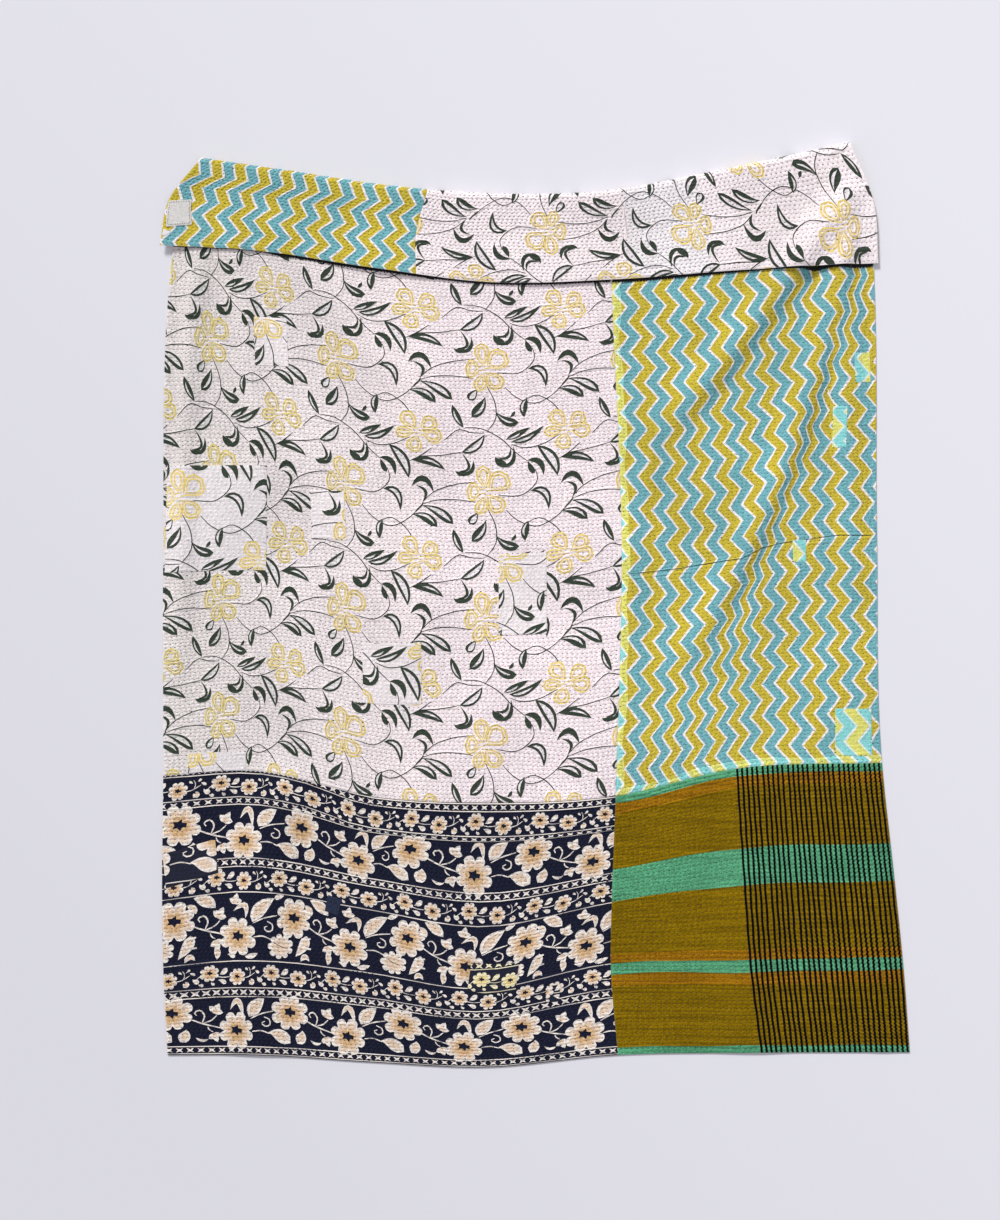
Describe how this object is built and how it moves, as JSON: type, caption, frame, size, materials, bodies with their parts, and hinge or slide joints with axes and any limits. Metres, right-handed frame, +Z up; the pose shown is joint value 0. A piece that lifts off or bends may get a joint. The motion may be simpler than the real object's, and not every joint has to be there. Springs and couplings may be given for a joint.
{
  "type": "kantha quilt",
  "caption": "Patchwork kantha throw in printed cottons, quilted through in close rows and laid out flat with its head end turned down over the front.",
  "frame": {"origin": "middle of the throw's box in plan, on the surface it rests on", "axes": "+Y from the foot hem towards the turned head end, +X to the right seen from above, +Z up, out of the front"},
  "size_m": [1.348, 1.6636, 0.0294],
  "materials": {
    "vine_cotton": "matt woven cotton, quilted",
    "zigzag_cotton": "matt woven cotton, quilted",
    "border_cotton": "matt woven cotton, quilted",
    "plaid_cotton": "matt woven cotton, quilted",
    "label_cotton": "matt cotton tape"
  },
  "bodies": {
    "root": {"front_vine": "vine_cotton", "front_zigzag": "zigzag_cotton", "front_border": "border_cotton", "front_plaid": "plaid_cotton", "back_zigzag": "zigzag_cotton", "back_vine": "vine_cotton", "label": "label_cotton"}
  },
  "joints": []
}
